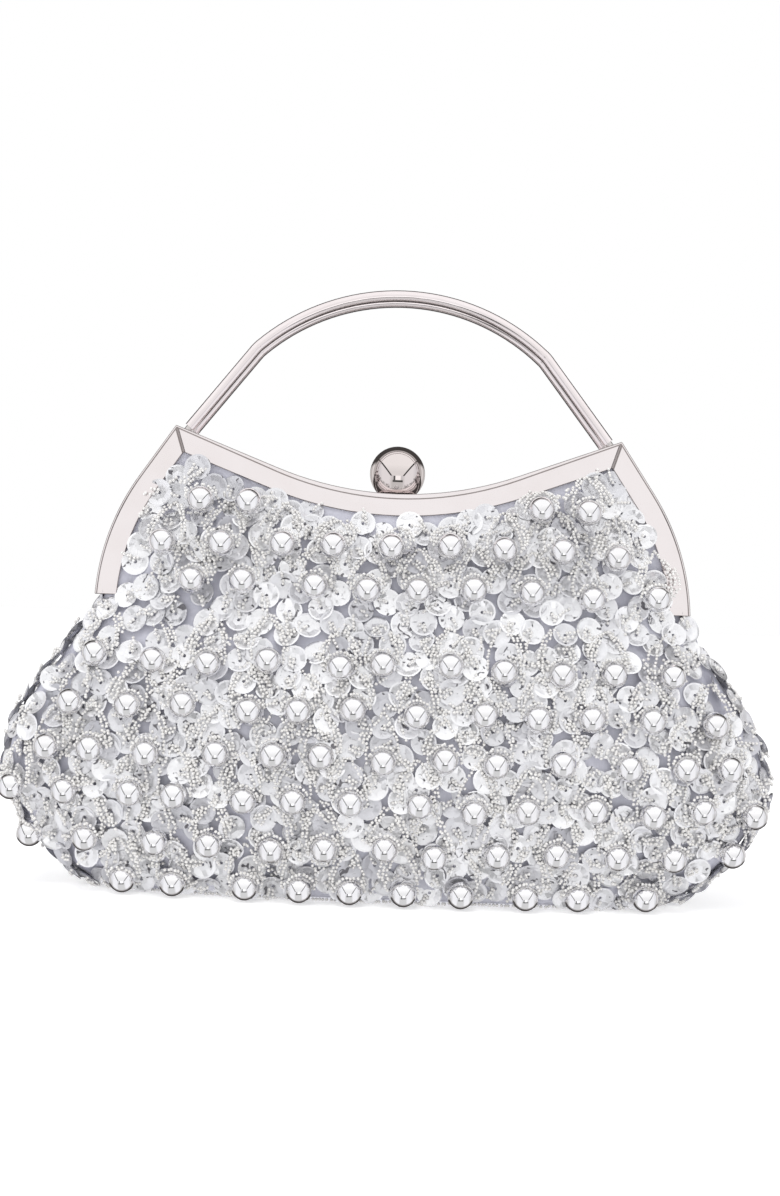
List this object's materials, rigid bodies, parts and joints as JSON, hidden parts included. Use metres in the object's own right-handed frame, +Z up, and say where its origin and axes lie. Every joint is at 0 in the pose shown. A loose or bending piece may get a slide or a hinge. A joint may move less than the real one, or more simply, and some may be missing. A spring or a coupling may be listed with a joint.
{
  "type": "evening bag",
  "caption": "Soft beaded evening bag on a two-half metal frame that opens at its ends, with arched handles and a ball clasp.",
  "frame": {"origin": "middle of the base, where the bag stands", "axes": "+X to the right-hand end as the front is seen, -Y out of the front, +Z up"},
  "size_m": [0.2741, 0.0739, 0.2176],
  "materials": {
    "satin": "silver-lilac satin covered with cup sequins and seed beads",
    "padding": "thin foam wadding",
    "lining": "plain satin lining",
    "board": "stiff board",
    "metal_beads": "round beads plated with bright silver metal",
    "frame_metal": "polished plated steel",
    "handle_metal": "polished plated steel bar",
    "ball_metal": "mirror-polished plated ball",
    "fixings": "plain plated steel",
    "spring_wire": "spring steel wire",
    "gimp": "pressed paper cord"
  },
  "bodies": {
    "pouch": {"satin_shell": "satin", "padding": "padding", "lining": "lining", "base_board": "board", "lining_pocket": "lining", "beads_front_pouch": "metal_beads", "beads_rear_pouch": "metal_beads"},
    "front_half": {"front_frame": "frame_metal", "front_handle": "handle_metal", "front_handle_studs": "fixings", "front_handle_nuts": "fixings", "front_panel": "satin", "front_panel_lining": "lining", "front_gimp": "gimp", "beads_front_panel": "metal_beads", "clasp_keeper": "fixings", "keeper_rivets": "fixings"},
    "rear_half": {"rear_frame": "frame_metal", "rear_handle": "handle_metal", "rear_handle_studs": "fixings", "rear_handle_nuts": "fixings", "rear_panel": "satin", "rear_panel_lining": "lining", "rear_gimp": "gimp", "beads_rear_panel": "metal_beads", "hinge_rivets": "fixings", "clasp_bracket": "fixings", "bracket_rivets": "fixings", "clasp_pin": "fixings", "clasp_spring": "spring_wire"},
    "clasp": {"clasp_lever": "fixings", "clasp_ball": "ball_metal"}
  },
  "joints": [
    {"name": "front_open", "type": "hinge", "parent": "pouch", "child": "front_half", "pos_m": [0, 0, 0.1], "axis": [1, 0, 0], "range_deg": [0, 30]},
    {"name": "rear_open", "type": "hinge", "parent": "pouch", "child": "rear_half", "pos_m": [0, 0, 0.1], "axis": [1, 0, 0], "range_deg": [-30, 0]},
    {"name": "clasp_tip", "type": "hinge", "parent": "rear_half", "child": "clasp", "pos_m": [0, 0.0026, 0.13854], "axis": [1, 0, 0], "range_deg": [-15, 0], "stiffness_Nm_per_rad": 0.2, "springref_deg": 8.59}
  ],
  "couplings": [
    {"joint": "rear_open", "follows": "front_open", "ratio": -1}
  ]
}
